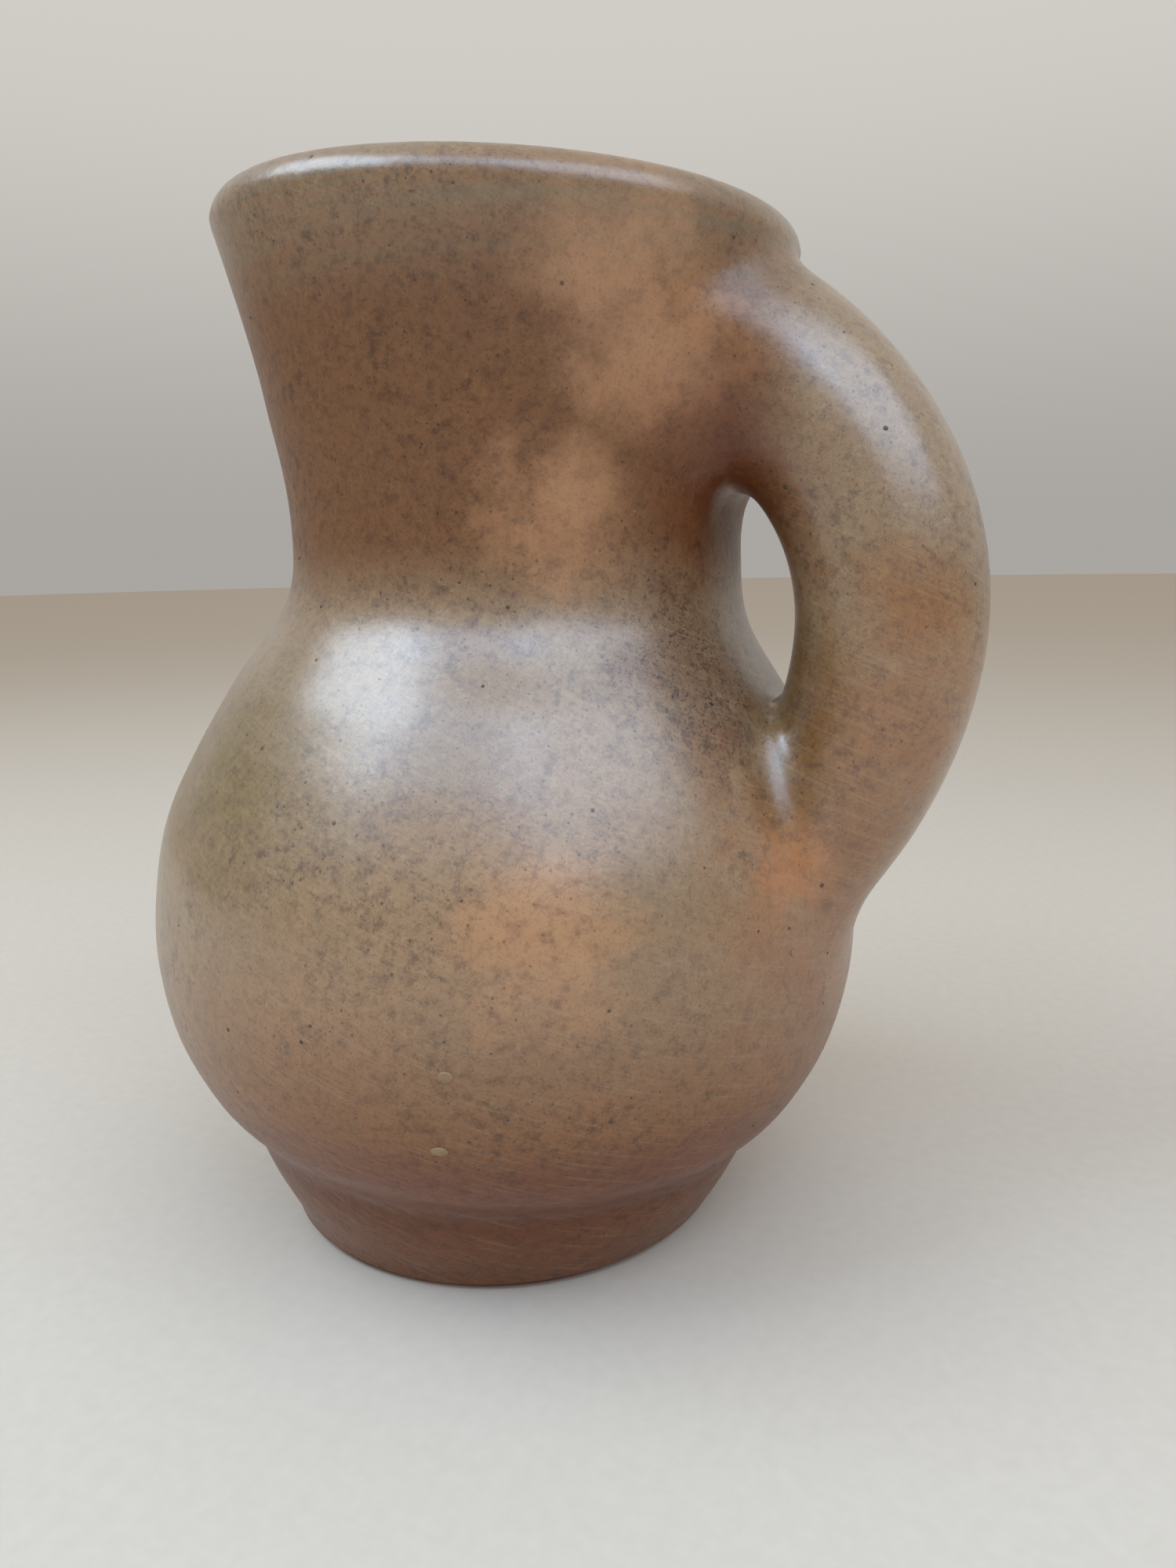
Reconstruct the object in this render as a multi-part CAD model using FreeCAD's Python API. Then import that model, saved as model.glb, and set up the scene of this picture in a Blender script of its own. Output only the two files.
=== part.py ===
import FreeCAD, Part
import math
import os

from FreeCAD import Vector

# A hand-made ceramic jug: a round belly on a short foot, a flaring neck with a rounded lip,
# and one fat hollow handle. The foot stands on the plane z = 0, its middle is the origin,
# and the handle points along +X. The body is turned about its own axis, which leans
# a little towards the handle, and the foot is ground flat afterwards.
# Lengths are in millimetres, and heights run along the body's own axis.

# Heights of the body's sections, from the foot up
FOOT_HEIGHT = 29.0
LOWER_BELLY_HEIGHT = 49.0
SHOULDER_HEIGHT = 80.0
NECK_HEIGHT = 66.0
LIP_HEIGHT = 26.0

# Outer radii, over the glaze
FOOT_UNDER_R = 56.5
FOOT_BASE_R = 57.2
FOOT_CREASE_R = 69.3
BELLY_R = 90.7
NECK_JOINT_R = 58.4
NECK_R = 56.0
LIP_BASE_R = 63.3
LIP_R = 69.6

# Walls, coats and edges
WALL = 8.5
FLOOR_THICKNESS = 15.0
FLOOR_R = 44.0
FLOOR_CORNER_R = 8.0
GLAZE = 0.7
GLAZE_LINE_HEIGHT = 2.4
FOOT_BEVEL = 1.2
LIP_OUTER_ROUND = 7.0
LIP_INNER_ROUND = 4.0

# How the body stands: its lean, and the mouth's pull away from the handle
LEAN_DEG = 3.8
MOUTH_PULL = 5.4

# Handle: where its middle line enters the body, how it bows, and how fat it is
HANDLE_TOP_DROP = 31.7
HANDLE_FOOT_RISE = 62.5
HANDLE_TOP_SINK = 0.4
HANDLE_FOOT_SINK = 24.0
HANDLE_TOP_PULL = 29.5
HANDLE_TOP_DIP_DEG = 29.0
HANDLE_FOOT_PULL = 90.1
HANDLE_FOOT_CLIMB_DEG = 53.2
HANDLE_TOP_R = 22.3
HANDLE_R = 21.4
HANDLE_FOOT_R = 19.6
HANDLE_WALL = 11.0

# Joining clay, smoothed out round each end of the handle
UPPER_JOINT_SPREAD = 14.0
UPPER_JOINT_RISE = 4.0
LOWER_JOINT_SPREAD = 5.0
LOWER_JOINT_RISE = 2.5
JOINT_EDGE = 0.35

# One overrun serves all cuts
OVERRUN = 10.0

# Outlines between the named radii: share of the section's height, share of its change in radius
FOOT_SHARES = [(0.14, 0.115), (0.28, 0.28), (0.55, 0.61), (0.83, 0.86)]
LOWER_BELLY_SHARES = [(0.06, 0.14), (0.16, 0.37), (0.31, 0.60), (0.51, 0.81), (0.75, 0.95)]
SHOULDER_SHARES = [
    (0.15, 0.02), (0.30, 0.08), (0.425, 0.18), (0.55, 0.325),
    (0.65, 0.455), (0.725, 0.56), (0.7875, 0.655), (0.85, 0.765), (0.925, 0.90),
]
NECK_WAIST_SHARE = 0.21
NECK_LOWER_SHARES = [(0.43, 0.75)]
NECK_FLARE_SHARES = [(0.27, 0.055), (0.54, 0.30), (0.79, 0.59)]

# Stretches of the handle's middle line: from inside the neck to inside the belly
HANDLE_SHARES = (-0.12, 1.0)
UPPER_JOINT_SHARES = (-0.1, 0.24)
LOWER_JOINT_SHARES = (1.0, 0.7)
HANDLE_WIDTH_SHARE = 1.03
HANDLE_MIDDLE_SHARE = 0.5
HANDLE_STATIONS = 14
JOINT_STATIONS = 7

# Heights where one section meets the next
FOOT_TOP_Z = FOOT_HEIGHT
BELLY_Z = FOOT_TOP_Z + LOWER_BELLY_HEIGHT
NECK_Z = BELLY_Z + SHOULDER_HEIGHT
LIP_Z = NECK_Z + NECK_HEIGHT
TOP_Z = LIP_Z + LIP_HEIGHT
WAIST_Z = NECK_Z + NECK_HEIGHT * NECK_WAIST_SHARE
CREST_R = LIP_R - LIP_OUTER_ROUND
REACH = BELLY_R + HANDLE_FOOT_PULL + OVERRUN
UP = Vector(0, 0, 1)
AXIS = Vector(0, 0, 0)


def stretch(start, end, shares):
    """Points from start to end, each a (height, radius) pair, through the given shares."""
    (z0, r0), (z1, r1) = start, end
    between = [(z0 + (z1 - z0) * across, r0 + (r1 - r0) * change) for across, change in shares]
    return [start] + between


def outline():
    """The glazed outer outline from under the foot to the lip's base."""
    below = (-OVERRUN, FOOT_UNDER_R)
    base = (0, FOOT_BASE_R)
    crease = (FOOT_TOP_Z, FOOT_CREASE_R)
    widest = (BELLY_Z, BELLY_R)
    joint = (NECK_Z, NECK_JOINT_R)
    waist = (WAIST_Z, NECK_R)
    lip = (LIP_Z, LIP_BASE_R)
    points = [below] + stretch(base, crease, FOOT_SHARES)
    points += stretch(crease, widest, LOWER_BELLY_SHARES)
    points += stretch(widest, joint, SHOULDER_SHARES)
    points += stretch(joint, waist, NECK_LOWER_SHARES)
    points += stretch(waist, lip, NECK_FLARE_SHARES)
    return points + [lip]


def inset(points, depth):
    """The same outline, moved inwards by a depth square to the surface."""
    moved = []
    last = len(points) - 1
    for place, (z, r) in enumerate(points):
        z0, r0 = points[max(place - 1, 0)]
        z1, r1 = points[min(place + 1, last)]
        moved.append((z, r - depth * math.hypot(z1 - z0, r1 - r0) / (z1 - z0)))
    return moved


def radius_at(height):
    """Outer radius of the body at a height, read off the outline."""
    points = outline()
    for (z0, r0), (z1, r1) in zip(points, points[1:]):
        if z0 <= height <= z1:
            return r0 + (r1 - r0) * (height - z0) / (z1 - z0)
    return LIP_R


def pull_at(height):
    """How far the body's middle is drawn away from the handle at a height."""
    along = min(max((height - NECK_Z) / NECK_HEIGHT, 0), 1)
    return MOUTH_PULL * math.sin(along * math.pi / 2) ** 2


def on_axis(spot):
    """A (height, radius) pair as a place in the XZ plane."""
    height, radius = spot
    return Vector(radius, 0, height)


def smooth_edge(points):
    """A smooth curve through (height, radius) pairs in the XZ plane."""
    curve = Part.BSplineCurve()
    curve.interpolate([on_axis(point) for point in points])
    return curve.toShape()


def turned(points):
    """A solid turned on the body's axis: a smooth side over a flat underside."""
    low, high = points[0][0], points[-1][0]
    edges = [smooth_edge(points), Part.makeLine(on_axis(points[-1]), on_axis((high, 0)))]
    edges.append(Part.makeLine(on_axis((high, 0)), on_axis((low, 0))))
    edges.append(Part.makeLine(on_axis((low, 0)), on_axis(points[0])))
    return Part.Face(Part.Wire(edges)).revolve(AXIS, UP, 360)


def drawn(points):
    """A smooth solid through round sections that drift away from the handle."""
    rings = []
    for height, radius in points:
        centre = Vector(-pull_at(height), 0, height)
        rings.append(Part.Wire(Part.makeCircle(radius, centre, UP)))
    return Part.makeLoft(rings, True, False)


def slab(low, high):
    """Everything between two heights."""
    return Part.makeCylinder(REACH, high - low, Vector(0, 0, low))


def spun(edges):
    """A solid spun about the mouth's own axis from outline edges in the XZ plane."""
    axis = Vector(-MOUTH_PULL, 0, 0)
    return Part.Face(Part.Wire(edges)).revolve(axis, UP, 360)


def at_mouth(radius, height):
    return Vector(radius - MOUTH_PULL, 0, height)


def rounded(centre_r, centre_z, radius, start_deg, end_deg):
    """A quarter round of the lip in the XZ plane."""
    spots = []
    for angle in (start_deg, (start_deg + end_deg) / 2, end_deg):
        turn = math.radians(angle)
        across, up = radius * math.cos(turn), radius * math.sin(turn)
        spots.append(at_mouth(centre_r + across, centre_z + up))
    return Part.Arc(*spots).toShape(), spots[0], spots[-1]


def lip_outside(depth):
    """The lip's outer body, filled to its middle, at a depth under the glaze."""
    round_z = TOP_Z - LIP_OUTER_ROUND
    base_r = inset(outline(), depth)[-1][1]
    arc, low, crest = rounded(CREST_R, round_z, LIP_OUTER_ROUND - depth, 0, 90)
    base = at_mouth(base_r, LIP_Z)
    middle_top = at_mouth(0, TOP_Z - depth)
    middle_base = at_mouth(0, LIP_Z)
    return spun([
        Part.makeLine(middle_base, base),
        Part.makeLine(base, low),
        arc,
        Part.makeLine(crest, middle_top),
        Part.makeLine(middle_top, middle_base),
    ])


def mouth_inside(base_r, rim_depth):
    """The mouth's hollow; rim_depth is how far its surface lies under the finished one."""
    round_z = TOP_Z - LIP_INNER_ROUND
    turn_r = LIP_INNER_ROUND - rim_depth
    arc, low, crest = rounded(CREST_R, round_z, turn_r, 180, 90)
    base = at_mouth(base_r, LIP_Z)
    over = at_mouth(CREST_R, TOP_Z + OVERRUN)
    middle_top = at_mouth(0, TOP_Z + OVERRUN)
    middle_base = at_mouth(0, LIP_Z)
    return spun([
        Part.makeLine(middle_base, base),
        Part.makeLine(base, low),
        arc,
        Part.makeLine(crest, over),
        Part.makeLine(over, middle_top),
        Part.makeLine(middle_top, middle_base),
    ])


def below_neck(points):
    return [point for point in points if point[0] <= NECK_Z]


def in_neck(points):
    return [point for point in points if point[0] >= NECK_Z]


def body_solid(depth):
    """The whole outer form of foot, belly, neck and lip, at a depth under the glaze."""
    side = inset(outline(), depth)
    belly = turned(below_neck(side))
    return belly.fuse([drawn(in_neck(side)), lip_outside(depth)])


def cavity(depth, rim_depth):
    """The hollow inside; depth is measured from the glazed outside."""
    coat = WALL - depth
    side = inset(outline(), depth)
    wall = [point for point in below_neck(side) if point[0] >= FOOT_TOP_Z]
    floor_z = FLOOR_THICKNESS - coat
    corner_z = floor_z + FLOOR_CORNER_R
    top_z, top_r = wall[0]
    corner_r = top_r - (top_z - corner_z) * (top_r - FLOOR_R) / top_z
    belly = turned([(floor_z, FLOOR_R + coat), (corner_z, corner_r)] + wall)
    return belly.fuse([drawn(in_neck(side)), mouth_inside(side[-1][1], rim_depth)])


def handle_ends():
    """The four points that shape the handle's middle line, from neck to belly."""
    top_z = TOP_Z - HANDLE_TOP_DROP
    foot_z = FOOT_TOP_Z + HANDLE_FOOT_RISE
    top = Vector(radius_at(top_z) - pull_at(top_z) - HANDLE_TOP_SINK, 0, top_z)
    foot = Vector(radius_at(foot_z) - HANDLE_FOOT_SINK, 0, foot_z)
    dip = math.radians(HANDLE_TOP_DIP_DEG)
    climb = math.radians(HANDLE_FOOT_CLIMB_DEG)
    lift = top + Vector(math.cos(dip), 0, -math.sin(dip)) * HANDLE_TOP_PULL
    drop = foot + Vector(math.cos(climb), 0, math.sin(climb)) * HANDLE_FOOT_PULL
    return top, lift, drop, foot


def handle_radius(share):
    """The handle thins from the neck to its middle and again to the belly."""
    away = max(share, 0) / HANDLE_MIDDLE_SHARE - 1
    end_r = HANDLE_TOP_R if away < 0 else HANDLE_FOOT_R
    return HANDLE_R + (end_r - HANDLE_R) * away ** 2


def oval(share, half_height, half_width):
    """An oval section square to the handle's middle line."""
    line = Part.BezierCurve()
    line.setPoles(handle_ends())
    centre = line.value(share)
    side = Vector(0, 1, 0)
    rise = side.cross(line.tangent(share)[0])
    wide = centre + side * half_width
    tall = centre + rise * half_height
    return Part.Wire(Part.Ellipse(wide, tall, centre).toShape())


def handle_solid(depth):
    """The handle's full form from inside the neck to inside the belly."""
    first, last = HANDLE_SHARES
    sections = []
    for station in range(HANDLE_STATIONS):
        share = first + (last - first) * station / (HANDLE_STATIONS - 1)
        radius = handle_radius(share) - depth
        sections.append(oval(share, radius, radius * HANDLE_WIDTH_SHARE))
    return Part.makeLoft(sections, True, False)


def joint_solid(shares, spread, rise, depth):
    """The flared clay round one end of the handle, wide inside the body, thin outside."""
    first, last = shares
    sections = []
    for station in range(JOINT_STATIONS):
        along = station / (JOINT_STATIONS - 1)
        share = first + (last - first) * along
        fade = (1 - along) ** 2
        radius = handle_radius(share) + JOINT_EDGE - depth
        tall = radius + rise * fade
        wide = radius * HANDLE_WIDTH_SHARE + spread * fade
        sections.append(oval(share, tall, wide))
    return Part.makeLoft(sections, True, False)


def upper_joint_solid(depth):
    return joint_solid(UPPER_JOINT_SHARES, UPPER_JOINT_SPREAD, UPPER_JOINT_RISE, depth)


def lower_joint_solid(depth):
    return joint_solid(LOWER_JOINT_SHARES, LOWER_JOINT_SPREAD, LOWER_JOINT_RISE, depth)


def stand(shape, lowest=0):
    """Lean a finished solid towards the handle and grind it flat at a height over the table."""
    leaned = shape.copy()
    leaned.rotate(AXIS, Vector(0, 1, 0), LEAN_DEG)
    corner = Vector(-REACH, -REACH, lowest - REACH)
    ground = Part.makeBox(REACH + REACH, REACH + REACH, REACH, corner)
    return leaned.cut(ground)


def bevel_tool():
    """What the bevel round the foot's lower edge takes away."""
    low = FOOT_BASE_R - GLAZE - FOOT_BEVEL
    lean = math.radians(LEAN_DEG)
    rise = FOOT_BASE_R * math.sin(lean)
    slope = (radius_at(rise) - radius_at(-rise)) / (rise + rise)
    middle = Vector(FOOT_BASE_R * slope * math.tan(lean), 0, 0)
    keep = Part.makeCone(low, low + OVERRUN, OVERRUN, middle)
    return Part.makeCylinder(REACH, OVERRUN).cut(keep)


def clay_sections(clay, hollow):
    """Foot, floor, lower belly, shoulder, neck and lip, each as its own thrown section."""
    wall = clay.cut(hollow)
    lowest = wall.common(slab(-OVERRUN, FOOT_TOP_Z))
    core = Part.makeCylinder(FLOOR_R, FOOT_TOP_Z + OVERRUN, Vector(0, 0, -OVERRUN))
    return {
        "floor": stand(lowest.common(core)),
        "foot": stand(lowest.cut(core)).cut(bevel_tool()),
        "lower_belly": stand(wall.common(slab(FOOT_TOP_Z, BELLY_Z))),
        "shoulder": stand(wall.common(slab(BELLY_Z, NECK_Z))),
        "neck": stand(wall.common(slab(NECK_Z, LIP_Z))),
        "lip": stand(wall.common(slab(LIP_Z, TOP_Z + OVERRUN))),
    }


def handle_pieces(clay):
    """The hollow handle and the joining clay at its two ends."""
    tube = handle_solid(GLAZE)
    upper = upper_joint_solid(GLAZE)
    lower = lower_joint_solid(GLAZE)
    hollow_tube = tube.cut(handle_solid(HANDLE_WALL))
    return {
        "handle": stand(hollow_tube.cut(clay)),
        "upper_joint": stand(upper.cut(tube).cut(clay)),
        "lower_joint": stand(lower.cut(tube).cut(clay)),
    }


def glazed_form(depth):
    """Body, handle and joining clay in one form, at a depth under the glaze."""
    form = body_solid(depth).fuse(handle_solid(depth))
    return form.fuse(upper_joint_solid(depth)).fuse(lower_joint_solid(depth))


def glaze_coats(hollow):
    """The outer coat over body and handle, and the coat inside."""
    coat = glazed_form(0).cut(glazed_form(GLAZE))
    mouth = Part.makeCylinder(CREST_R, OVERRUN + OVERRUN, Vector(-MOUTH_PULL, 0, TOP_Z - OVERRUN))
    inside = hollow.cut(cavity(WALL, 0)).common(slab(-OVERRUN, TOP_Z))
    return {
        "outer_glaze": stand(coat.cut(mouth), GLAZE_LINE_HEIGHT),
        "inner_glaze": stand(inside),
    }


def build():
    """Every sub-part by its name."""
    clay = body_solid(GLAZE)
    hollow = cavity(WALL - GLAZE, GLAZE)
    parts = clay_sections(clay, hollow)
    parts.update(handle_pieces(clay))
    parts.update(glaze_coats(hollow))
    return parts


os.makedirs("parts", exist_ok=True)
for name, shape in build().items():
    shape.exportStep(os.path.join("parts", name + ".step"))
    print(name, "solids", len(shape.Solids), "valid", shape.isValid(), "volume", round(shape.Volume))
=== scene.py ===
# %% [markdown]
# A glazed clay jug with one fat handle.
# The imported CAD model gives the frame: foot on z = 0, handle along +X, all in metres.
# Everything below is built around it.

# %% Load the frame
import math

import bmesh
import bpy
import numpy as np
from mathutils import Matrix, Vector, noise


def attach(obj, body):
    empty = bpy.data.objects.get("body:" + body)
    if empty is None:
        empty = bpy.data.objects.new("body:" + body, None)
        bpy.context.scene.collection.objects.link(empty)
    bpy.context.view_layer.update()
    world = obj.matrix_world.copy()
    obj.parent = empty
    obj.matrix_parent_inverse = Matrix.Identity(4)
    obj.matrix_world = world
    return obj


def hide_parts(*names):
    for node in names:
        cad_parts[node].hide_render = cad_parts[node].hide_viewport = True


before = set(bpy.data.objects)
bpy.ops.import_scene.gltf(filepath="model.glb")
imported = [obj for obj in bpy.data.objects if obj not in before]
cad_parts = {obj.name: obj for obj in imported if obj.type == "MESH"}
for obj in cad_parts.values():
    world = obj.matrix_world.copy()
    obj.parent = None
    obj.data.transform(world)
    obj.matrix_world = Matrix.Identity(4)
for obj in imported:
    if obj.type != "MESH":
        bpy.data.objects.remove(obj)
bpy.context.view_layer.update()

print("CAD nodes:", sorted(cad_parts))

# %% [markdown]
# Sizes are measured along the jug's own axis, as a potter would, in millimetres.
# The axis leans a little towards the handle, because the foot was ground flat afterwards.
# The outline is a list of (height, radius) pairs, joined by a smooth curve.

# %% The jug's own sizes
MM = 0.001
LEAN = math.radians(3.8)
WALL = 8.5
FLOOR_Z = 15.0
GLAZE_LINE_Z = 2.4
NECK_Z, LIP_Z, TOP_Z = 158.0, 224.0, 250.0
MOUTH_PULL = 5.4
LIP_R, LIP_ROUND, LIP_INNER_ROUND = 69.6, 7.0, 4.0
CREST_R = LIP_R - LIP_ROUND
OUTLINE = [
    (-10, 56.5), (0, 57.2), (4, 58.6), (8, 60.6), (16, 64.6), (24, 67.8), (29, 70.0),
    (32, 72.6), (37, 77.4), (44, 82.0), (54, 86.6), (66, 89.6), (78, 90.7),
    (90, 90.0), (102, 88.2), (112, 84.9), (122, 80.2), (130, 76.0), (136, 72.6),
    (141, 69.6), (146, 66.1), (152, 61.8), (158, 58.4), (164, 56.6), (172, 56.0),
    (186, 56.4), (200, 58.2), (213, 60.3), (224, 63.3), (236, 67.2),
    (TOP_Z - LIP_ROUND, LIP_R),
]


def smooth_between(points, at):
    """A natural cubic curve through (place, value) pairs, read at many places."""
    x, y = np.array(points, float).T
    h = np.diff(x)
    n = len(x)
    rows = np.zeros((n, n))
    right = np.zeros(n)
    rows[0, 0] = rows[-1, -1] = 1
    for i in range(1, n - 1):
        rows[i, i - 1:i + 2] = h[i - 1], 2 * (h[i - 1] + h[i]), h[i]
        right[i] = 6 * ((y[i + 1] - y[i]) / h[i] - (y[i] - y[i - 1]) / h[i - 1])
    bend = np.linalg.solve(rows, right)
    i = np.clip(np.searchsorted(x, at) - 1, 0, n - 2)
    t = at - x[i]
    slope = (y[i + 1] - y[i]) / h[i] - h[i] * (2 * bend[i] + bend[i + 1]) / 6
    return y[i] + t * (slope + t * (bend[i] / 2 + t * (bend[i + 1] - bend[i]) / (6 * h[i])))


SIDE_POINTS = 330
side_z = np.linspace(OUTLINE[0][0], TOP_Z - LIP_ROUND, SIDE_POINTS)
side_r = smooth_between(OUTLINE, side_z)
print("widest radius", round(float(side_r.max()), 1), "mm")

# %% [markdown]
# The jug is one skin of glaze, so body and handle must flow into each other.
# A join of two meshes would leave a hard crease where the handle meets the wall.
# Instead the form is described by distances: each place in space knows how far it is
# from the body and from the handle, and a soft minimum of the two rounds the joint.
# The body is turned, so its distance is worked out once, in a flat table of
# (distance from the axis, height). The handle is flat in plan, so it gets one too.

# %% Distance tables
STEP = 0.5
LAST_CELL = 1.001


def line_distance(px, pz, xs, zs):
    """Distance from many flat points to a chain of short straight lines."""
    best = np.full(px.shape, 1e9)
    for x0, z0, x1, z1 in zip(xs, zs, xs[1:], zs[1:]):
        dx, dz = x1 - x0, z1 - z0
        t = np.clip(((px - x0) * dx + (pz - z0) * dz) / (dx * dx + dz * dz), 0, 1)
        np.minimum(best, np.hypot(px - x0 - t * dx, pz - z0 - t * dz), out=best)
    return best


class Table:
    """A function of two lengths, kept on a grid and read between its points."""

    def __init__(self, low, high, fill):
        self.low = low
        across = np.arange(low[0], high[0] + STEP, STEP)
        up = np.arange(low[1], high[1] + STEP, STEP)
        self.values = fill(*np.meshgrid(across, up, indexing="ij"))

    def __call__(self, a, b):
        v = self.values
        u = np.clip((a - self.low[0]) / STEP, 0, v.shape[0] - LAST_CELL)
        w = np.clip((b - self.low[1]) / STEP, 0, v.shape[1] - LAST_CELL)
        i, j = u.astype(int), w.astype(int)
        u, w = u - i, w - j
        low = v[i, j] * (1 - u) + v[i + 1, j] * u
        high = v[i, j + 1] * (1 - u) + v[i + 1, j + 1] * u
        return low * (1 - w) + high * w

# %% [markdown]
# Two profiles describe the body: the glazed outside, and the hollow inside, which keeps the
# wall's thickness square to the outside. Near the floor a potter's fingers leave a wide
# round corner, so the inside has a few points of its own there.

# %% The body's two profiles
ROUND_POINTS = 15
FLOOR_CORNER = [
    (FLOOR_Z, 38), (FLOOR_Z + 0.8, 42.5), (FLOOR_Z + 4, 48), (23, 53.2),
    (29, 58.6), (31, 59.8), (33, 60.9), (34.2, 62.2),
]
WALL_FROM_Z = 37


def quarter(centre_r, centre_z, radius, start, end):
    """Points on an arc between two angles in degrees."""
    turn = np.radians(np.linspace(start, end, ROUND_POINTS))
    return centre_r + radius * np.cos(turn), centre_z + radius * np.sin(turn)


def outer_profile():
    """The body's glazed outside, from under the foot over the lip to the middle."""
    r, z = quarter(CREST_R, TOP_Z - LIP_ROUND, LIP_ROUND, 0, 90)
    return np.concatenate([side_r, r[1:], [0]]), np.concatenate([side_z, z[1:], [TOP_Z]])


def inner_profile():
    """The glazed inside, from the middle of the floor up to the lip's crest."""
    slope = np.gradient(side_r, side_z)
    r = side_r - WALL * np.sqrt(1 + slope ** 2)
    keep = (side_z > WALL_FROM_Z) & (side_z < LIP_Z)
    corner_z, corner_r = np.array(FLOOR_CORNER).T
    wall_z = np.concatenate([corner_z, side_z[keep][::6]])
    wall_r = np.concatenate([corner_r, r[keep][::6]])
    ring_r, ring_z = quarter(CREST_R, TOP_Z - LIP_INNER_ROUND, LIP_INNER_ROUND, 180, 90)
    return np.concatenate([[0], wall_r, ring_r]), np.concatenate([[FLOOR_Z], wall_z, ring_z])


def body_field(r, z):
    pr, pz = outer_profile()
    far = line_distance(r, z, pr, pz)
    edge = np.interp(z, pz[:-1], pr[:-1])
    return np.where((r < edge) & (z < TOP_Z), -far, far)


def hollow_field(r, z):
    pr, pz = inner_profile()
    pr, pz = np.append(pr, pr[-1]), np.append(pz, TOP_Z + 20)
    far = line_distance(r, z, pr, pz)
    edge = np.interp(z, pz[1:], pr[1:])
    return np.where((r < edge) & (z > FLOOR_Z), -far, far)


BODY_LOW, BODY_HIGH = (0, -16), (140, 264)
body_table = Table(BODY_LOW, BODY_HIGH, body_field)
hollow_table = Table(BODY_LOW, BODY_HIGH, hollow_field)
print("body table", body_table.values.shape)

# %% [markdown]
# The handle is a fat roll of clay. Its middle line is a Bezier curve in the plane
# through the jug's axis, and it thins from the neck to the belly. A swept circle would
# give the same roll, but no distance, and so no soft joint.

# %% The handle's distance
HANDLE_LINE = [(56.0, 218.3), (81.7, 203.9), (120.0, 163.6), (66.0, 91.5)]
HANDLE_TOP_R, HANDLE_R, HANDLE_FOOT_R = 22.3, 21.4, 19.6
HANDLE_WIDTH_SHARE = 1.03
HANDLE_FROM, HANDLE_TO, HANDLE_POINTS = -0.12, 1.0, 160
shares = np.linspace(HANDLE_FROM, HANDLE_TO, HANDLE_POINTS)
p0, p1, p2, p3 = (np.array(p)[:, None] for p in HANDLE_LINE)
rest = 1 - shares
handle_x, handle_z = (
    p0 * rest ** 3 + 3 * p1 * rest ** 2 * shares + 3 * p2 * rest * shares ** 2 + p3 * shares ** 3
)
half = 2 * np.clip(shares, 0, 1)
handle_r = np.where(
    half < 1,
    HANDLE_TOP_R + (HANDLE_R - HANDLE_TOP_R) * half * (2 - half),
    HANDLE_R + (HANDLE_FOOT_R - HANDLE_R) * (half - 1) ** 2,
)


def handle_nearest(x, z):
    """For each flat point: distance to the middle line, and the radius there."""
    best = np.full(x.shape, 1e9)
    radius = np.zeros(x.shape)
    for i in range(len(shares) - 1):
        dx, dz = handle_x[i + 1] - handle_x[i], handle_z[i + 1] - handle_z[i]
        t = ((x - handle_x[i]) * dx + (z - handle_z[i]) * dz) / (dx * dx + dz * dz)
        t = np.clip(t, 0, 1)
        far = np.hypot(x - handle_x[i] - t * dx, z - handle_z[i] - t * dz)
        near = far < best
        best = np.where(near, far, best)
        radius = np.where(near, handle_r[i] + t * (handle_r[i + 1] - handle_r[i]), radius)
    return best, radius


HANDLE_LOW, HANDLE_HIGH = (-10, 40), (150, 270)
reach_table = Table(HANDLE_LOW, HANDLE_HIGH, lambda x, z: handle_nearest(x, z)[0])
girth_table = Table(HANDLE_LOW, HANDLE_HIGH, lambda x, z: handle_nearest(x, z)[1])
print("handle reaches x =", round(float((handle_x + handle_r).max()), 1), "mm")

# %% [markdown]
# The plain minimum of the two distances would meet in a crease. A soft minimum rounds it,
# as a thumb does in wet clay. Its reach is the size of the joint: broad under the lip and
# round the sides of the upper joint, and tight in the finger gap's two corners.

# %% The whole form as one distance
LOWER_REACH, UPPER_REACH, LIP_REACH, LEAST_REACH = 8, 20, 7, 3
CORNER_LOSS = 11


def ease(value, low, high):
    t = np.clip((value - low) / (high - low), 0, 1)
    return t * t * (3 - 2 * t)


def blend_reach(y, z):
    """How far the joint is smoothed out at a place."""
    reach = LOWER_REACH + (UPPER_REACH - LOWER_REACH) * ease(z, 140, 185)
    reach = reach + (LIP_REACH - UPPER_REACH) * ease(z, 220, 240)
    corner = (1 - ease(np.abs(y), 3, 20)) * ease(z, 132, 142) * (1 - ease(z, 205, 216))
    return np.maximum(reach - CORNER_LOSS * corner, LEAST_REACH)


def mouth_pull(z):
    """How far the neck is drawn away from the handle at a height."""
    return MOUTH_PULL * np.sin(np.clip((z - NECK_Z) / (LIP_Z - NECK_Z), 0, 1) * math.pi / 2) ** 2


def jug_field(p):
    """Distance to the glazed surface; negative inside the clay."""
    x, y, z = p
    r = np.hypot(x + mouth_pull(z), y)
    body = body_table(r, z)
    handle = np.hypot(reach_table(x, z), y / HANDLE_WIDTH_SHARE) - girth_table(x, z)
    k = blend_reach(y, z)
    share = np.clip(0.5 + 0.5 * (handle - body) / k, 0, 1)
    joined = handle * (1 - share) + body * share - k * share * (1 - share)
    return np.maximum(joined, -hollow_table(r, z))


belly_spot = np.array([[80.0], [0.0], [60.0]])
print("a place in the belly's wall is", round(float(jug_field(belly_spot)[0]), 1), "mm deep")

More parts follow.
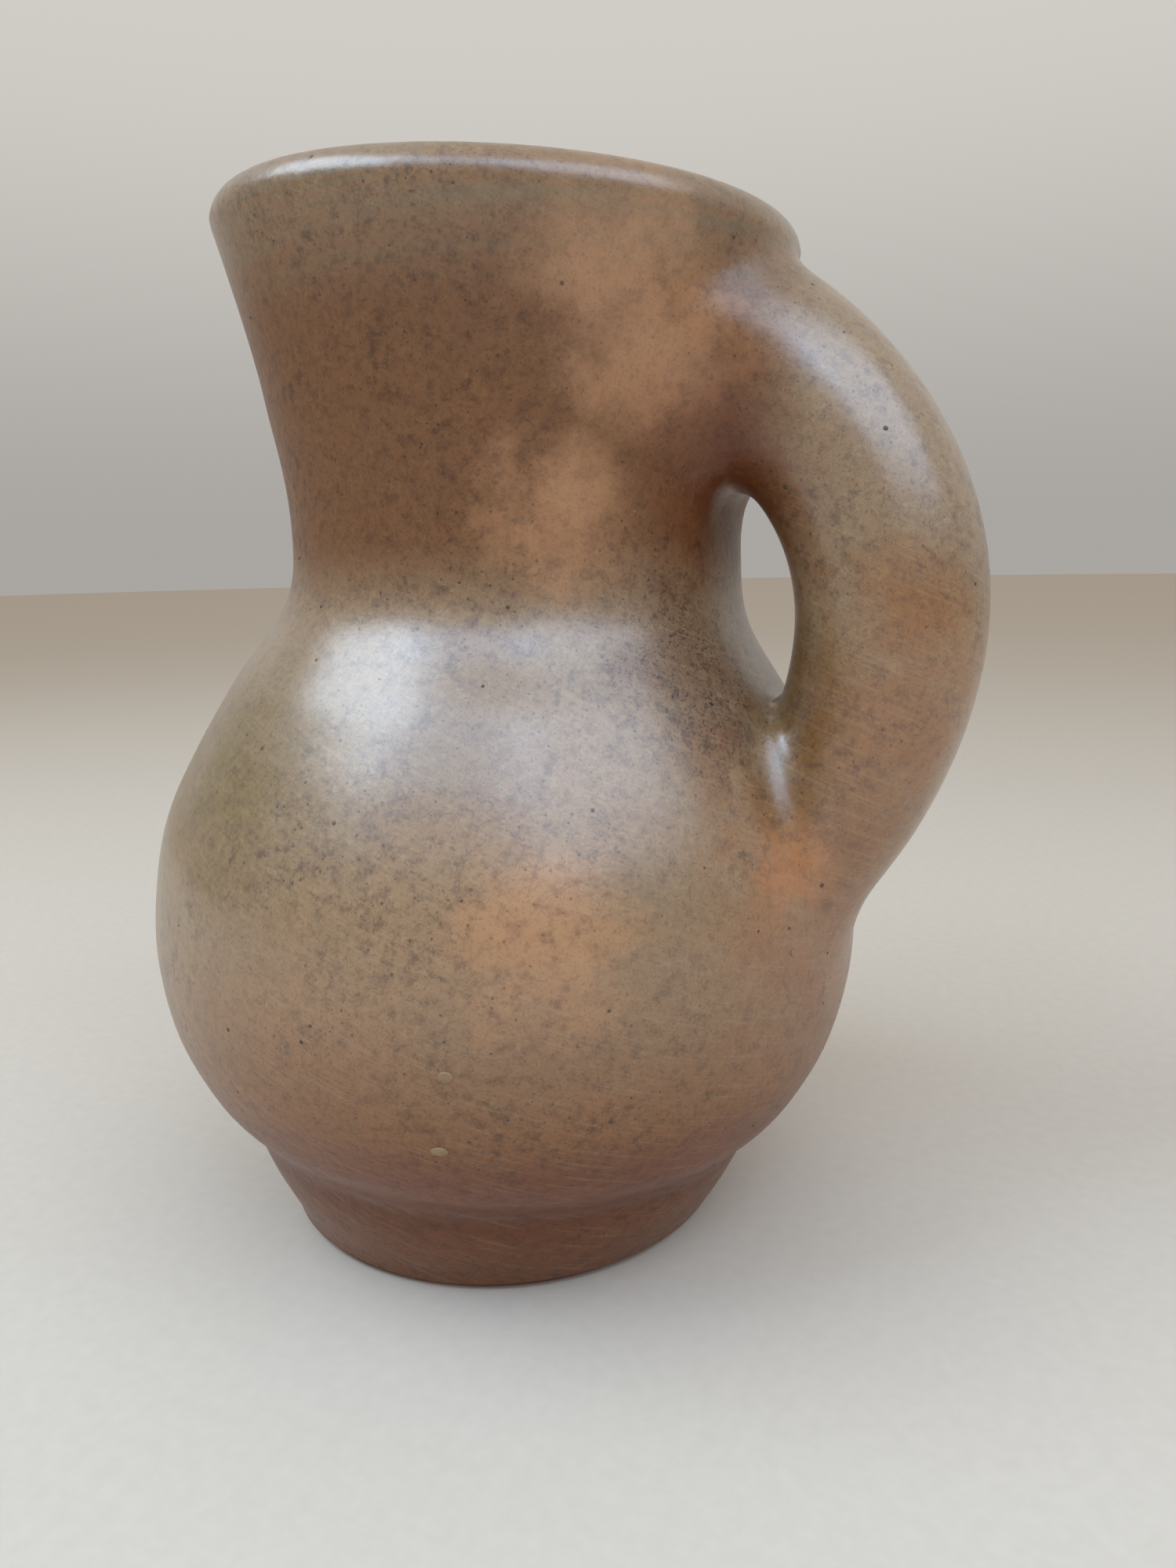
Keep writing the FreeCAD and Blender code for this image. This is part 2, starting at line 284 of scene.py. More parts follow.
# %% [markdown]
# Now the form needs faces. Space is cut into small cubes, and where the distance changes
# sign along a cube's edge, the surface passes. The crossings round one cube are averaged to
# a point, and the four cubes round such an edge give a face. This net has only four-sided
# faces of about one size, and they carry a long shine better than uneven triangles.

# %% A net of faces on the surface
VOXEL = 2.1
LOW, HIGH = np.array([-102.0, -96.0, -9.0]), np.array([128.0, 96.0, 256.0])
ROUND_AN_EDGE = ((0, 0), (1, 0), (1, 1), (0, 1))


def skin_mesh():
    """The surface where the distance is zero, as points and four-sided faces."""
    axes = [np.arange(a, b + VOXEL, VOXEL) for a, b in zip(LOW, HIGH)]
    shape = tuple(len(a) for a in axes)
    field = jug_field(np.meshgrid(*axes, indexing="ij")).astype(np.float32)
    cells = tuple(n - 1 for n in shape)
    total = np.zeros((3,) + cells, np.float32)
    count = np.zeros(cells, np.float32)
    crossings = []
    for axis in range(3):
        a = field[tuple(slice(None, -1) if k == axis else slice(None) for k in range(3))]
        b = field[tuple(slice(1, None) if k == axis else slice(None) for k in range(3))]
        found = np.argwhere((a < 0) != (b < 0))
        one, two = a[tuple(found.T)], b[tuple(found.T)]
        place = found.astype(np.float32)
        place[:, axis] += one / (one - two)
        others = [k for k in range(3) if k != axis]
        corners = []
        for du, dv in ROUND_AN_EDGE:
            cell = found.copy()
            cell[:, others[0]] -= du
            cell[:, others[1]] -= dv
            corners.append(cell)
        inner = np.all([(c >= 0).all(1) & (c < cells).all(1) for c in corners], axis=0)
        for cell in corners:
            spot = tuple(cell[inner].T)
            for k in range(3):
                np.add.at(total[k], spot, place[inner, k])
            np.add.at(count, spot, 1)
        turned = (one < 0) == (axis != 1)
        crossings.append((corners, inner, turned))
    number = np.full(cells, -1)
    used = count > 0
    number[used] = np.arange(used.sum())
    points = (total[:, used] / count[used]).T * VOXEL + LOW
    faces = []
    for corners, inner, turned in crossings:
        quad = np.stack([number[tuple(c[inner].T)] for c in corners], 1)
        quad[~turned[inner]] = quad[~turned[inner]][:, ::-1]
        faces.append(quad)
    return points, np.concatenate(faces)


net, net_faces = skin_mesh()
print("skin net:", len(net), "points,", len(net_faces), "faces")

# %% [markdown]
# The averaged points lie a little off the surface. They are moved towards the middle of
# their neighbours a few times, which evens out the net, and each time pushed back along
# the slope of the distance, which points straight out of the surface.

# %% Settle the net
PROBE = 0.35
ROUNDS, EVEN_ROUNDS, EVEN_SHARE = 5, 3, 0.5


def gradient(p):
    """The way out of the surface at many places, each one unit long."""
    rows = []
    for k in range(3):
        step = np.zeros((3, 1))
        step[k] = PROBE
        rows.append(jug_field(p + step) - jug_field(p - step))
    g = np.array(rows) / (2 * PROBE)
    return g / np.maximum(np.linalg.norm(g, axis=0), 1e-6)


def settled(points, faces):
    """Even out the net and put every point back on the surface."""
    p = points.T.copy()
    a = faces.ravel()
    b = np.roll(faces, -1, 1).ravel()
    weight = np.bincount(a, minlength=len(points)) + np.bincount(b, minlength=len(points))
    for turn in range(ROUNDS):
        mean = np.array([
            np.bincount(a, p[k][b], len(points)) + np.bincount(b, p[k][a], len(points))
            for k in range(3)
        ]) / weight
        if turn < EVEN_ROUNDS:
            p = p + EVEN_SHARE * (mean - p)
        normal = gradient(p)
        p = p - normal * jug_field(p)
    return p.T


net = settled(net, net_faces)
print("furthest off the surface:", round(float(np.abs(jug_field(net.T)).max()), 3), "mm")

# %% [markdown]
# The net still covers the whole inside. The outer coat of glaze laps over the lip
# and ends a finger's breadth down the neck, and it stops short of the floor,
# where the potter wiped the foot so that it would not stick in the kiln.
# Both edges are cut with a plane, and then the coat gets its thickness.

# %% Cut the coat and give it its thickness
LAP_Z = 235.0
COAT = 0.6
INSIDE_NEAR = 1.0
LEANED = Matrix.Rotation(LEAN, 3, "Y")
lean = np.array(LEANED)


def mesh_points(bm):
    return np.array([v.co for v in bm.verts], float).reshape(-1, 3)


def cut_coat():
    bm = bmesh.new()
    spots = [bm.verts.new(p) for p in net]
    for f in net_faces:
        bm.faces.new([spots[i] for i in f])
    x, y, z = net.T
    inside = np.abs(hollow_table(np.hypot(x + mouth_pull(z), y), z)) < INSIDE_NEAR
    bm.verts.index_update()
    inner = [f for f in bm.faces if all(inside[v.index] for v in f.verts)]
    edges = dict.fromkeys(e for f in inner for e in f.edges)
    corners = dict.fromkeys(v for f in inner for v in f.verts)
    parts = [*inner, *edges, *corners]
    bmesh.ops.bisect_plane(bm, geom=parts, plane_co=(0, 0, LAP_Z), plane_no=(0, 0, 1), clear_inner=True)
    down = LEANED.inverted() @ Vector((0, 0, 1))
    everything = list(bm.verts) + list(bm.edges) + list(bm.faces)
    line = LEANED.inverted() @ Vector((0, 0, GLAZE_LINE_Z))
    bmesh.ops.bisect_plane(bm, geom=everything, plane_co=line, plane_no=down, clear_inner=True)
    loose = [v for v in bm.verts if not v.link_faces]
    bmesh.ops.delete(bm, geom=loose, context="VERTS")
    return bm


def thickened(bm):
    """Adds the coat's hidden side and closes it along its edges."""
    rim = [e.link_loops[0] for e in bm.edges if e.is_boundary]
    rim = [(loop.vert, loop.link_loop_next.vert) for loop in rim]
    outer = list(bm.verts)
    under = np.array([v.co for v in outer], float)
    under = under - gradient(under.T).T * COAT
    below = {v: bm.verts.new(p) for v, p in zip(outer, under)}
    for f in list(bm.faces):
        bm.faces.new([below[v] for v in reversed(f.verts)])
    for a, b in rim:
        bm.faces.new([b, a, below[a], below[b]])
    return bm


coat = thickened(cut_coat())
print("coat faces:", len(coat.faces), "open edges:", sum(e.is_boundary for e in coat.edges))

# %% [markdown]
# No hand-thrown jug is perfectly round. A slow ripple, a fraction of a millimetre deep,
# moves the skin inwards only, so the jug stays within its CAD box.

# %% Make the skin an object
RIPPLE = 0.35
RIPPLE_SIZE = 42.0
RING_SIZE, RING_HEIGHT, RING_SHARE = 160, 9.0, 0.35
SHARP = math.radians(50)


def rippled(points):
    """Shallow hand-made unevenness: soft hollows and faint turning rings."""
    moved = []
    for x, y, z in points:
        soft = noise.noise(Vector((x, y, z)) / RIPPLE_SIZE)
        ring = noise.noise(Vector((x / RING_SIZE, y / RING_SIZE, z / RING_HEIGHT)))
        moved.append(0.5 * RIPPLE * (soft + RING_SHARE * ring - 1.1))
    return np.array(moved)


def in_scene(name, data):
    """A new object, made from its data and put into the scene."""
    piece = bpy.data.objects.new(name, data)
    bpy.context.scene.collection.objects.link(piece)
    return piece


def as_object(name, bm):
    mesh = bpy.data.meshes.new(name)
    bm.to_mesh(mesh)
    bm.free()
    mesh.shade_smooth()
    return in_scene(name, mesh)


points = mesh_points(coat)
shift = gradient(points.T).T * rippled(points)[:, None]
for vertex, place in zip(coat.verts, (points + shift) @ lean.T * MM):
    vertex.co = place
glaze_skin = as_object("glaze_skin", coat)
glaze_skin.data.set_sharp_from_angle(angle=SHARP)
print("skin triangles:", sum(len(p.vertices) - 2 for p in glaze_skin.data.polygons))

# %% [markdown]
# The inside coat is a true turned form: one profile carried round the axis.
# Geometry Nodes do that with a profile curve swept along a tiny circle,
# then a Set Position node draws the neck away from the handle, as on the real jug.

# %% The inside coat, turned with Geometry Nodes
LAP_LENGTH, LAP_DEPTH = 3, 0.3
COAT_SIDES = 144


def node(tree, kind, **values):
    made = tree.nodes.new(kind)
    for key, value in values.items():
        setattr(made, key, value)
    return made


def math_node(tree, operation, a, b=None, c=None):
    made = node(tree, "ShaderNodeMath", operation=operation)
    for i, value in enumerate((a, b, c)):
        if value is None:
            continue
        if isinstance(value, (int, float)):
            made.inputs[i].default_value = value
        else:
            tree.links.new(value, made.inputs[i])
    return made.outputs[0]


def product(tree, a, b, plus=None):
    """Two values multiplied, and a third one added if it is given."""
    return math_node(tree, "MULTIPLY" if plus is None else "MULTIPLY_ADD", a, b, plus)


def link_all(tree, *pairs):
    for value, socket in pairs:
        tree.links.new(value, socket)


def geometry_group(name, *takes):
    """A new geometry group, and the sockets it takes from and gives to."""
    tree = bpy.data.node_groups.new(name, "GeometryNodeTree")
    for label, kind in (("Geometry", "Geometry"), *takes, ("Glaze", "Material")):
        tree.interface.new_socket(label, in_out="INPUT", socket_type="NodeSocket" + kind)
    tree.interface.new_socket("Geometry", in_out="OUTPUT", socket_type="NodeSocketGeometry")
    start, end = node(tree, "NodeGroupInput"), node(tree, "NodeGroupOutput")
    return tree, start.outputs, end.inputs[0]


def painted(tree, shape, glaze, result):
    """The end of a tree: instances made real, smooth shading and a material."""
    realize = node(tree, "GeometryNodeRealizeInstances")
    smooth = node(tree, "GeometryNodeSetShadeSmooth")
    paint = node(tree, "GeometryNodeSetMaterial")
    link_all(
        tree, (shape, realize.inputs[0]), (realize.outputs[0], smooth.inputs["Geometry"]),
        (smooth.outputs[0], paint.inputs["Geometry"]), (glaze, paint.inputs["Material"]),
        (paint.outputs[0], result),
    )


def turning_tree():
    tree, take, result = geometry_group(
        "Turned coat", ("Sides", "Int"), ("Pull", "Float"), ("Pull from", "Float"),
        ("Pull to", "Float"),
    )
    profile = node(tree, "GeometryNodeMeshToCurve")
    circle = node(tree, "GeometryNodeCurvePrimitiveCircle", mode="RADIUS")
    circle.inputs["Radius"].default_value = 1e-6
    sweep = node(tree, "GeometryNodeCurveToMesh")
    merge = node(tree, "GeometryNodeMergeByDistance")
    merge.inputs["Distance"].default_value = 4e-6
    place = node(tree, "GeometryNodeInputPosition")
    split = node(tree, "ShaderNodeSeparateXYZ")
    along = node(tree, "ShaderNodeMapRange")
    turn = product(tree, along.outputs[0], math.pi / 2)
    wave = math_node(tree, "SINE", turn)
    eased = product(tree, wave, wave)
    amount = product(tree, eased, take["Pull"])
    back = product(tree, amount, -1)
    vector = node(tree, "ShaderNodeCombineXYZ")
    move = node(tree, "GeometryNodeSetPosition")
    painted(tree, move.outputs[0], take["Glaze"], result)
    link_all(
        tree,
        (take["Geometry"], profile.inputs[0]), (take["Sides"], circle.inputs["Resolution"]),
        (circle.outputs[0], sweep.inputs["Curve"]),
        (profile.outputs[0], sweep.inputs["Profile Curve"]),
        (sweep.outputs[0], merge.inputs["Geometry"]), (merge.outputs[0], move.inputs["Geometry"]),
        (place.outputs[0], split.inputs[0]), (split.outputs["Z"], along.inputs["Value"]),
        (take["Pull from"], along.inputs["From Min"]), (take["Pull to"], along.inputs["From Max"]),
        (back, vector.inputs["X"]), (vector.outputs[0], move.inputs["Offset"]),
    )
    return tree


def coat_profile():
    """The inside coat's closed profile: its wet side up, its hidden side down again."""
    r, z = inner_profile()
    keep = z <= LAP_Z
    r = np.append(r[keep], np.interp(LAP_Z, z, r))
    z = np.append(z[keep], LAP_Z)
    out_r, out_z = r + COAT, z - COAT * (z < FLOOR_Z + 1)
    end_z = LAP_Z + LAP_LENGTH
    end_r = np.interp(end_z, *inner_profile()[::-1]) + LAP_DEPTH
    lap = [(r[-1] + LAP_DEPTH, LAP_Z), (end_r, end_z)]
    wet = list(zip(r, z))
    hidden = list(zip(out_r, out_z))[::-1]
    hidden[-1] = (0, FLOOR_Z - COAT)
    return wet + lap + [(end_r + LAP_DEPTH, end_z)] + hidden


def set_inputs(modifier, **values):
    """Sets a modifier's inputs by their sockets' identifiers."""
    for item in modifier.node_group.interface.items_tree:
        key = item.name.lower().replace(" ", "_")
        if item.in_out == "INPUT" and key in values:
            modifier[item.identifier] = values[key]


def finished(source, name):
    """The modifier's result as a plain mesh object of its own."""
    ready = source.evaluated_get(bpy.context.evaluated_depsgraph_get())
    mesh = bpy.data.meshes.new_from_object(ready)
    bpy.data.objects.remove(source)
    mesh.name = name
    return in_scene(name, mesh)


profile = [(r * MM, z * MM) for r, z in coat_profile()]
line = bpy.data.meshes.new("coat profile")
edges = [(i, i + 1) for i in range(len(profile) - 1)]
line.from_pydata([(r, -z, 0) for r, z in profile], edges, [])
holder = in_scene("coat profile", line)
inside_glaze = bpy.data.materials.new("inside glaze")
turner = holder.modifiers.new("turn", "NODES")
turner.node_group = turning_tree()
set_inputs(
    turner, sides=COAT_SIDES, pull=MOUTH_PULL * MM, pull_from=NECK_Z * MM,
    pull_to=LIP_Z * MM, glaze=inside_glaze,
)
inner_coat = finished(holder, "inner_coat")
inner_coat.data.transform(LEANED.to_4x4())
bm = bmesh.new()
bm.from_mesh(inner_coat.data)
bmesh.ops.recalc_face_normals(bm, faces=bm.faces)
print("inner coat faces:", len(bm.faces), "open edges:", sum(e.is_boundary for e in bm.edges))
bm.to_mesh(inner_coat.data)
bm.free()
inner_coat.data.set_sharp_from_angle(angle=SHARP)
corners = np.array([v.co for v in inner_coat.data.vertices])
print("inner coat box:", corners.min(0).round(4), corners.max(0).round(4))

# %% [markdown]
# A glaze picks up grains and blisters in the kiln. Each is a low bead, melted in.
# Geometry Nodes scatter them over the skin with a fixed seed, sink them halfway
# and turn the instances into plain mesh. Three larger pale ones have places of their own.

# %% Beads in the glaze, scattered with Geometry Nodes
BEAD_DENSITY = 700.0
BEAD_SIZE = (0.00022, 0.00055)
BEAD_FLATNESS = 0.45
SKIN_DEPTH = 0.45 * COAT + 0.2
BARE_LIP = 9


def bead_tree():
    tree, take, result = geometry_group(
        "Glaze beads", ("Density", "Float"), ("Smallest", "Float"), ("Largest", "Float"),
        ("Flatness", "Float"), ("Seed", "Int"),
    )
    spread = node(tree, "GeometryNodeDistributePointsOnFaces")
    bead = node(tree, "GeometryNodeMeshIcoSphere")
    bead.inputs["Radius"].default_value = 1
    bead.inputs["Subdivisions"].default_value = 2
    size = node(tree, "FunctionNodeRandomValue", data_type="FLOAT")
    shape = node(tree, "ShaderNodeCombineXYZ")
    shape.inputs["X"].default_value = 1
    shape.inputs["Y"].default_value = 1
    scale = node(tree, "ShaderNodeVectorMath", operation="SCALE")
    place = node(tree, "GeometryNodeInstanceOnPoints")
    painted(tree, place.outputs[0], take["Glaze"], result)
    link_all(
        tree,
        (take["Geometry"], spread.inputs["Mesh"]), (take["Density"], spread.inputs["Density"]),
        (take["Seed"], spread.inputs["Seed"]), (take["Smallest"], size.inputs[2]),
        (take["Largest"], size.inputs[3]), (take["Seed"], size.inputs["Seed"]),
        (take["Flatness"], shape.inputs["Z"]), (shape.outputs[0], scale.inputs[0]),
        (size.outputs[1], scale.inputs["Scale"]), (spread.outputs["Points"], place.inputs["Points"]),
        (bead.outputs["Mesh"], place.inputs["Instance"]),
        (spread.outputs["Rotation"], place.inputs["Rotation"]),
        (scale.outputs[0], place.inputs["Scale"]),
    )
    return tree


def outside_of(piece):
    """The skin's outer side alone, as a plain copy for scattering on."""
    bm = bmesh.new()
    bm.from_mesh(piece.data)
    bm.faces.ensure_lookup_table()
    centres = np.array([f.calc_center_median() for f in bm.faces]) @ lean / MM
    depth = jug_field(centres.T)
    unseen = (depth < -SKIN_DEPTH) | (centres[:, 2] > TOP_Z - BARE_LIP)
    hidden = [bm.faces[i] for i in np.flatnonzero(unseen)]
    bmesh.ops.delete(bm, geom=hidden, context="FACES")
    return as_object("bead ground", bm)


satin_glaze = bpy.data.materials.new("satin glaze")
bead_glaze = bpy.data.materials.new("bead glaze")
ground = outside_of(glaze_skin)
scatter = ground.modifiers.new("beads", "NODES")
scatter.node_group = bead_tree()
set_inputs(
    scatter, density=BEAD_DENSITY, smallest=BEAD_SIZE[0], largest=BEAD_SIZE[1],
    flatness=BEAD_FLATNESS, seed=7, glaze=bead_glaze,
)
glaze_beads = finished(ground, "glaze_beads")
print("bead faces:", len(glaze_beads.data.polygons))

# %% [markdown]
# Pale beads sit where the photograph shows them. Each is drawn out a little, because the
# glaze was still running when it froze.

# %% Pale beads one by one
PALE_BEADS = [
    ((0.0346, -0.0854, 0.0709), 0.0013, 1.3),
    ((0.0306, -0.0825, 0.0526), 0.0012, 1.6),
    ((0.0905, -0.0302, 0.0856), 0.0008, 1.2),
]


def pale_bead_mesh():
    bm = bmesh.new()
    for place, size, stretch in PALE_BEADS:
        spot = np.array(LEANED.inverted() @ Vector(place))[:, None] / MM
        out = gradient(spot)[:, 0]
        spot = spot[:, 0] - out * float(jug_field(spot)[0])
        normal = LEANED @ Vector(out)
        turn = normal.to_track_quat("Z", "Y").to_matrix().to_4x4()
        grown = Matrix.Diagonal((size * stretch, size, size * 0.4, 1))
        where = Matrix.Translation(LEANED @ (Vector(spot) * MM) - normal * size * 0.12)
        bmesh.ops.create_icosphere(bm, subdivisions=3, radius=1, matrix=where @ turn @ grown)
    return bm


pale_beads = as_object("pale_beads", pale_bead_mesh())
print("pale beads:", len(PALE_BEADS))

# %% [markdown]
# The glaze is satin: olive tan where it lies thin over the clay, mottled brown where
# metal oxide gathered, with warm patches and small black pits. Effects that the outside,
# the inside and the beads share are node groups, so each finish only chooses its values.


# %% Helpers for shared effects
def colour(r, g, b):
    """A colour as the eye reads it, 0 to 255, turned into light values."""
    return tuple(((c / 255 + 0.055) / 1.055) ** 2.4 for c in (r, g, b)) + (1,)


def effect(name, takes, gives):
    """A new node group, and the sockets it takes from and gives to."""
    tree = bpy.data.node_groups.new(name, "ShaderNodeTree")
    for label, value in takes.items():
        kind = "Vector" if value is None else "Color" if isinstance(value, tuple) else "Float"
        socket = tree.interface.new_socket(label, in_out="INPUT", socket_type="NodeSocket" + kind)
        if value is not None:
            socket.default_value = value
    for label, kind in gives.items():
        tree.interface.new_socket(label, in_out="OUTPUT", socket_type="NodeSocket" + kind)
    start, end = node(tree, "NodeGroupInput"), node(tree, "NodeGroupOutput")
    print("shared effect:", name)
    return tree, start.outputs, end.inputs


def use(tree, group, vector, **values):
    """Places a group; each value is a number, a colour or another node's output."""
    made = node(tree, "ShaderNodeGroup", node_tree=group)
    tree.links.new(vector, made.inputs["Vector"])
    for key, value in values.items():
        give(tree, value, made.inputs[key.replace("_", " ").capitalize()])
    return made.outputs


def give(tree, value, socket):
    if isinstance(value, bpy.types.NodeSocket):
        tree.links.new(value, socket)
    else:
        socket.default_value = value


def step_up(tree, value, low, high):
    """0 below low, 1 above high, with a soft step between; low may be the larger."""
    made = node(tree, "ShaderNodeMapRange", interpolation_type="SMOOTHSTEP")
    for key, item in (("Value", value), ("From Min", low), ("From Max", high)):
        give(tree, item, made.inputs[key])
    return made.outputs[0]


def mixed(tree, share, first, second, blend="MIX"):
    made = node(tree, "ShaderNodeMix", data_type="RGBA", blend_type=blend)
    for i, item in ((0, share), (6, first), (7, second)):
        give(tree, item, made.inputs[i])
    return made.outputs[2]


print("red clay as light values:", [round(c, 3) for c in colour(126, 84, 62)])

# %% [markdown]
# Clouds are noise with a soft threshold; they make smudges, patches and grain at any size.
# A twist draws them out into thin crooked veins.

# %% Shared effect: soft clouds
tree, take, out = effect(
    "Soft clouds",
    {
        "Vector": None, "Size": 0.01, "Detail": 3.0, "Grain": 0.55, "Twist": 0.0,
        "Low": 0.45, "High": 0.6, "Seed": 0.0,
    },
    {"Mask": "Float"},
)
cloud = node(tree, "ShaderNodeTexNoise", noise_dimensions="4D")
fineness = math_node(tree, "DIVIDE", 1.0, take["Size"])
mask = step_up(tree, cloud.outputs[0], take["Low"], take["High"])
link_all(
    tree, (take["Vector"], cloud.inputs["Vector"]), (take["Seed"], cloud.inputs["W"]),
    (fineness, cloud.inputs["Scale"]), (take["Detail"], cloud.inputs["Detail"]),
    (take["Grain"], cloud.inputs["Roughness"]), (take["Twist"], cloud.inputs["Distortion"]),
    (mask, out["Mask"]),
)
cloud_effect = tree

# %% [markdown]
# Dots are the middles of cells scattered through space. The surface cuts the cells at
# different depths, so the dots come out in different sizes, as grains in a glaze do.

# %% Shared effect: fine dots
tree, take, out = effect(
    "Fine dots",
    {"Vector": None, "Spacing": 0.004, "Radius": 0.0004, "Share": 0.5, "Seed": 0.0},
    {"Mask": "Float"},
)
moved = node(tree, "ShaderNodeVectorMath", operation="ADD")
cells = node(tree, "ShaderNodeTexVoronoi")
draw = node(tree, "ShaderNodeSeparateColor")
fineness = math_node(tree, "DIVIDE", 1.0, take["Spacing"])
far = product(tree, cells.outputs["Distance"], take["Spacing"])
large = product(tree, draw.outputs[1], 0.6, 0.5)
edge = product(tree, large, take["Radius"])
inner = product(tree, edge, 0.6)
dot = step_up(tree, far, edge, inner)
chosen = math_node(tree, "LESS_THAN", draw.outputs[0], take["Share"])
link_all(
    tree, (take["Vector"], moved.inputs[0]), (take["Seed"], moved.inputs[1]),
    (moved.outputs[0], cells.inputs["Vector"]), (fineness, cells.inputs["Scale"]),
    (cells.outputs["Color"], draw.inputs[0]),
    (product(tree, dot, chosen), out["Mask"]),
)
dot_effect = tree

# %% [markdown]
# A brush or a finger drags glaze round the jug on the wheel. The streaks are noise that is
# stretched a lot round the jug and hardly at all in height.

# %% Shared effect: turned streaks
tree, take, out = effect(
    "Turned streaks",
    {"Vector": None, "Length": 0.04, "Height": 0.0008, "Low": 0.45, "High": 0.65, "Seed": 0.0},
    {"Mask": "Float"},
)
along = math_node(tree, "DIVIDE", 1.0, take["Length"])
over = math_node(tree, "DIVIDE", 1.0, take["Height"])
pressed = node(tree, "ShaderNodeCombineXYZ")
grown = node(tree, "ShaderNodeVectorMath", operation="MULTIPLY")
streak = node(tree, "ShaderNodeTexNoise", noise_dimensions="4D")
streak.inputs["Scale"].default_value = 1
streak.inputs["Detail"].default_value = 3
mask = step_up(tree, streak.outputs[0], take["Low"], take["High"])
link_all(
    tree, (along, pressed.inputs[0]), (along, pressed.inputs[1]), (over, pressed.inputs[2]),
    (take["Vector"], grown.inputs[0]), (pressed.outputs[0], grown.inputs[1]),
    (grown.outputs[0], streak.inputs["Vector"]), (take["Seed"], streak.inputs["W"]),
    (mask, out["Mask"]),
)
streak_effect = tree

# %% [markdown]
# A patch is a soft ball with a wavering edge, placed by its middle and its reach. The
# waver has fine detail, because a smooth edge makes a patch look like a disc.

# %% Shared effect: a soft patch
tree, take, out = effect(
    "Soft patch",
    {"Vector": None, "Middle": None, "Reach": 0.02, "Waver": 1.9},
    {"Mask": "Float"},
)
gap = node(tree, "ShaderNodeVectorMath", operation="DISTANCE")
wave = node(tree, "ShaderNodeTexNoise")
wave.inputs["Scale"].default_value = 70
wave.inputs["Detail"].default_value = 6
wave.inputs["Roughness"].default_value = 0.66
share = math_node(tree, "DIVIDE", gap.outputs["Value"], take["Reach"])
sway = math_node(tree, "SUBTRACT", wave.outputs[0], 0.5)
sway = product(tree, sway, take["Waver"])
share = math_node(tree, "ADD", share, sway)
link_all(
    tree, (take["Vector"], gap.inputs[0]), (take["Middle"], gap.inputs[1]),
    (take["Vector"], wave.inputs["Vector"]),
    (step_up(tree, share, 1.25, 0.1), out["Mask"]),
)
patch_effect = tree

# %% [markdown]
# The glaze itself puts the effects together. The kiln left ground and warm colours side by
# side in broad clouds, with smudges and veins of metal oxide over them. It gives a colour,
# a roughness and a height, which the finishes feed to their shaders.

# %% Shared effect: mottled glaze
tree, take, out = effect(
    "Mottled glaze",
    {
        "Vector": None, "Ground": colour(154, 122, 89), "Warm": colour(184, 136, 94),
        "Smudge": colour(88, 62, 48), "Speck": colour(52, 36, 32), "Warmth": 0.0,
        "Smudging": 0.6, "Veins": 0.3, "Specks": 0.5, "Pits": 0.3,
    },
    {"Colour": "Color", "Roughness": "Float", "Height": "Float"},
)


def clouds(**values):
    return use(tree, cloud_effect, take["Vector"], **values)[0]


def over_glaze(area, share, tint):
    """The colour so far, with a tint over it where an area says, by a share."""
    return mixed(tree, product(tree, area, share), shade, tint)


broad = clouds(size=0.05, detail=2.0, low=0.48, high=0.72, seed=3.0)
warmth = product(tree, broad, 0.25)
warmth = math_node(tree, "ADD", warmth, take["Warmth"])
warmth.node.use_clamp = True
shade = mixed(tree, warmth, take["Ground"], take["Warm"])
pale = clouds(size=0.0015, detail=3.0, grain=0.6, low=0.48, high=0.7, seed=5.0)
shade = over_glaze(pale, 0.34, colour(176, 152, 110))
smudge = clouds(size=0.0027, detail=6.0, grain=0.74, low=0.45, high=0.70, seed=9.0)
region = clouds(size=0.028, detail=2.0, low=0.36, high=0.66, seed=12.0)
region = product(tree, region, 0.5, 0.5)
smudge = product(tree, smudge, region)
smudge = product(tree, smudge, take["Smudging"])
shade = mixed(tree, smudge, shade, take["Smudge"])
vein = clouds(size=0.0013, detail=4.0, grain=0.7, twist=2.2, low=0.51, high=0.61, seed=31.0)
shade = over_glaze(vein, take["Veins"], take["Speck"])
print("nodes so far:", len(tree.nodes))

# %% [markdown]
# Specks are grains that melted flat, and lie thickest where the smudges do. Pits are burst
# blisters: darker, matt and deep. The skin of a satin glaze also swells and ripples gently.

# %% Specks, pits and relief of the glaze
at = take["Vector"]
dots = use(tree, dot_effect, at, spacing=0.0021, radius=0.00042, share=take["Specks"], seed=0.31)[0]
speck = product(tree, dots, region)
shade = over_glaze(speck, 0.75, take["Speck"])
pits = use(tree, dot_effect, at, spacing=0.0075, radius=0.00062, share=take["Pits"], seed=0.77)[0]
shade = mixed(tree, pits, shade, colour(24, 18, 16))
matt = product(tree, smudge, 0.10, 0.34)
pit_matt = product(tree, pits, 0.3)
skin = clouds(size=0.0024, detail=2.0, low=0.2, high=0.8, seed=21.0)
swell = clouds(size=0.016, detail=1.0, low=0.1, high=0.9, seed=24.0)
height = product(tree, swell, 1.6, skin)
deep = product(tree, pits, 2.4)
link_all(
    tree, (shade, out["Colour"]),
    (math_node(tree, "ADD", matt, pit_matt), out["Roughness"]),
    (math_node(tree, "SUBTRACT", height, deep), out["Height"]),
)
print("the mottled glaze has", len(tree.nodes), "nodes")
glaze_effect = tree
